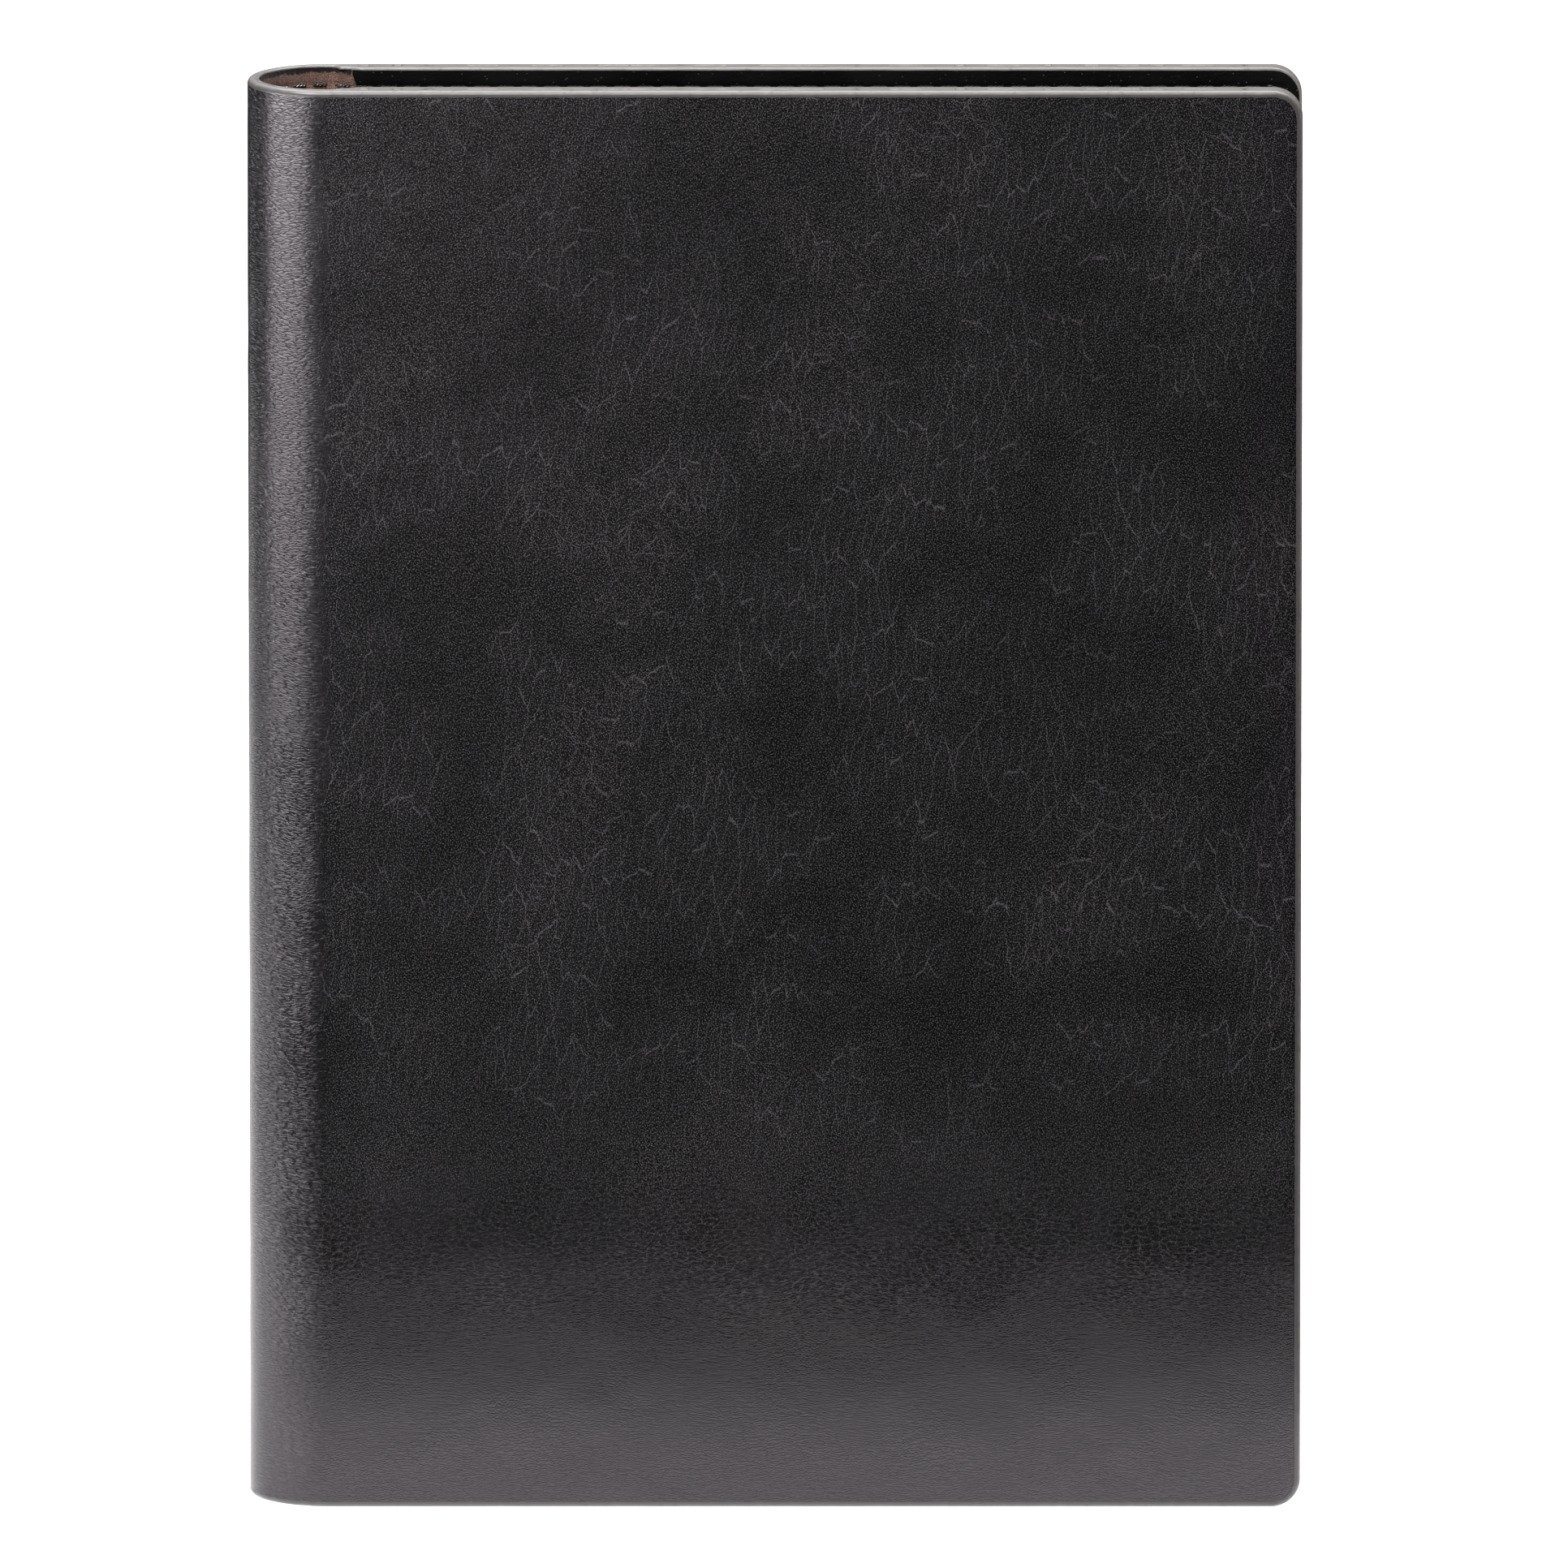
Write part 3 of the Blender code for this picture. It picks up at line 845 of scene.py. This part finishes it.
def make_stitching():
    """Every stitch of the seam, gathered by the length of sheet that it lies on."""
    line = seam_line()
    lengths = np.concatenate([[0], np.cumsum(np.hypot(*np.diff(line, axis=0).T))])
    count = 2 * round(lengths[-1] / STITCH_PITCH / 2)
    gathered = {number: ([], [], []) for number in BENDS}
    for k in range(count):
        travelled = (k + 0.5) * lengths[-1] / count
        behind, here, ahead = [
            np.array([np.interp(travelled + step, lengths, line[:, axis]) for axis in (0, 1)])
            for step in (-0.3 * MM, 0.0, 0.3 * MM)
        ]
        along = (ahead - behind) / np.linalg.norm(ahead - behind)
        for side in (1, -1):
            flip = np.array([side, 1.0])
            number = int(np.searchsorted(CUTS, here[0] * side)) - 1
            vertices, faces, coordinates = gathered[min(max(number, BENDS[0]), BENDS[-1])]
            new_vertices, new_faces, new_coordinates = stitch(here * flip, along * flip)
            start = len(vertices)
            vertices += new_vertices
            faces += [tuple(start + index for index in face) for face in new_faces]
            coordinates += new_coordinates
    for number, (vertices, faces, coordinates) in gathered.items():
        slots = [0] * len(faces)
        piece = add_piece(f"stitches_{number + 1}", vertices, faces, slots, [THREAD], coordinates)
        bend(piece)


for number in BENDS:
    make_outer_leather(number)
    make_lining(number)
    make_edges(number)
for side, label in ((1, "front"), (-1, "back")):
    make_pocket(side, label)
make_stitching()

for name in ("front_board", "back_board"):
    for slot in frame["nodes"][name].material_slots:
        slot.material = BOARD


def replace_nodes():
    """Hides each CAD node but the boards. The pieces built above stand in for them."""
    for at, body in enumerate(BODIES):
        for name in frame["record"]["behaviour"]["bodies"][body]:
            if name.endswith("_pocket"):
                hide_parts(name)
            elif not name.endswith("_board"):
                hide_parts(name)


replace_nodes()


# The room.


def add_object(name, data):
    made = bpy.data.objects.new(name, data)
    bpy.context.scene.collection.objects.link(made)
    return made


def plane(name, x_range, y_range, z, look):
    mesh = bpy.data.meshes.new(name)
    corners = [(x, y, z) for x, y in zip((*x_range, *reversed(x_range)), np.repeat(y_range, 2))]
    mesh.from_pydata(corners, [], [(0, 1, 2, 3)])
    mesh.materials.append(look)
    made = add_object(name, mesh)
    return made


def plain_material(name, colour, roughness):
    made = bpy.data.materials.new(name)
    made.use_nodes = True
    shader = made.node_tree.nodes["Principled BSDF"]
    shader.inputs["Base Color"].default_value = (*colour, 1)
    shader.inputs["Roughness"].default_value = roughness
    shader.inputs["Specular IOR Level"].default_value = 0.0
    return made


def area_light(name, position, target, size, power):
    light = bpy.data.lights.new(name, "AREA")
    light.shape = "RECTANGLE"
    light.size, light.size_y = size
    light.energy = power
    lamp = add_object(name, light)
    lamp.location = position
    lamp.rotation_mode = "QUATERNION"
    lamp.rotation_quaternion = (Vector(target) - Vector(position)).to_track_quat("-Z", "Y")
    return lamp


def make_floor():
    """A white floor that glows evenly, so that only a faint contact shadow shows on it."""
    look = plain_material("floor_white", (0.62, 0.62, 0.62), 1.0)
    shader = look.node_tree.nodes["Principled BSDF"]
    shader.inputs["Emission Color"].default_value = (1, 1, 1, 1)
    shader.inputs["Emission Strength"].default_value = 0.99
    look.cycles.emission_sampling = "NONE"
    reach, gap = 30, 0.00002
    plane("floor", (-reach, reach), (-reach, reach), CAD_LOW.z - gap, look)


def make_cards():
    """Dark cards lie on the floor round the cover, seen only in its shine."""
    dark = plain_material("dark_card", (0.004, 0.004, 0.004), 1.0)
    near, far, height = 0.075, 6.0, 0.002
    places = {
        "card_front": ((-far, far), (-far, -near)),
        "card_right": ((0.12, far), (-near, near)),
        "card_back": ((-0.09, far), (near, far)),
        "card_left": ((-far, -0.5), (-near, 0.5)),
        "card_back_left": ((-far, -0.09), (0.5, far)),
    }
    for name, (x_range, y_range) in places.items():
        card = plane(name, x_range, y_range, height, dark)
        card.visible_camera = False
        card.visible_diffuse = False
        card.visible_shadow = False
        card.visible_transmission = False


def make_world():
    """White all round to the camera. As a light it is dim in front and bright behind and above."""
    world = bpy.data.worlds.new("white_room")
    bpy.context.scene.world = world
    world.use_nodes = True
    tree = world.node_tree
    to_camera, dimmest, rise = 1.1, 0.003, 0.10
    background = tree.nodes["Background"]
    background.inputs["Color"].default_value = (1, 1, 1, 1)
    seen = node(tree, "ShaderNodeLightPath", out=0)
    direction = node(tree, "ShaderNodeTexCoord", out=0)
    up = part_of(tree, direction, 2)
    behind = maths(tree, "ADD", part_of(tree, direction, 1), times(tree, up, 0.9))
    bright = times(tree, ramp(tree, behind, -0.1, 0.8), ramp(tree, up, -0.02, 0.15))
    glow = maths(tree, "ADD", times(tree, bright, rise), dimmest)
    tree.links.new(blend_values(tree, seen, glow, to_camera), background.inputs["Strength"])


def make_lights():
    area_light("left_softbox", (-0.378, -0.255, 0.18), (-0.075, 0, 0.18), (0.42, 0.12), 1.75)
    area_light("overhead", (0.1, 0.35, 1.2), (0, 0, 0), (1.2, 0.8), 16.0)
    area_light("high_front", (-0.35, -0.55, 1.15), (0, 0, 0.15), (0.6, 0.6), 16.0)


CAMERA_DISTANCE = 9.0
CAMERA_ELEVATION = math.radians(13.5)
VIEW_WIDTH = 0.24145
VIEW_CENTRE = Vector((0.0014, 0, 0.1124))


def make_camera():
    data = bpy.data.cameras.new("camera")
    data.sensor_width = 36
    data.lens = data.sensor_width * CAMERA_DISTANCE / VIEW_WIDTH
    data.clip_end = 100
    camera = add_object("camera", data)
    back = Vector((0, -math.cos(CAMERA_ELEVATION), math.sin(CAMERA_ELEVATION)))
    camera.location = VIEW_CENTRE + back * CAMERA_DISTANCE
    camera.rotation_mode = "QUATERNION"
    camera.rotation_quaternion = back.to_track_quat("Z", "Y")
    bpy.context.scene.camera = camera


make_floor()
make_cards()
make_world()
make_lights()
make_camera()
bpy.context.scene.view_settings.view_transform = "Standard"
bpy.context.scene.cycles.max_bounces = 3
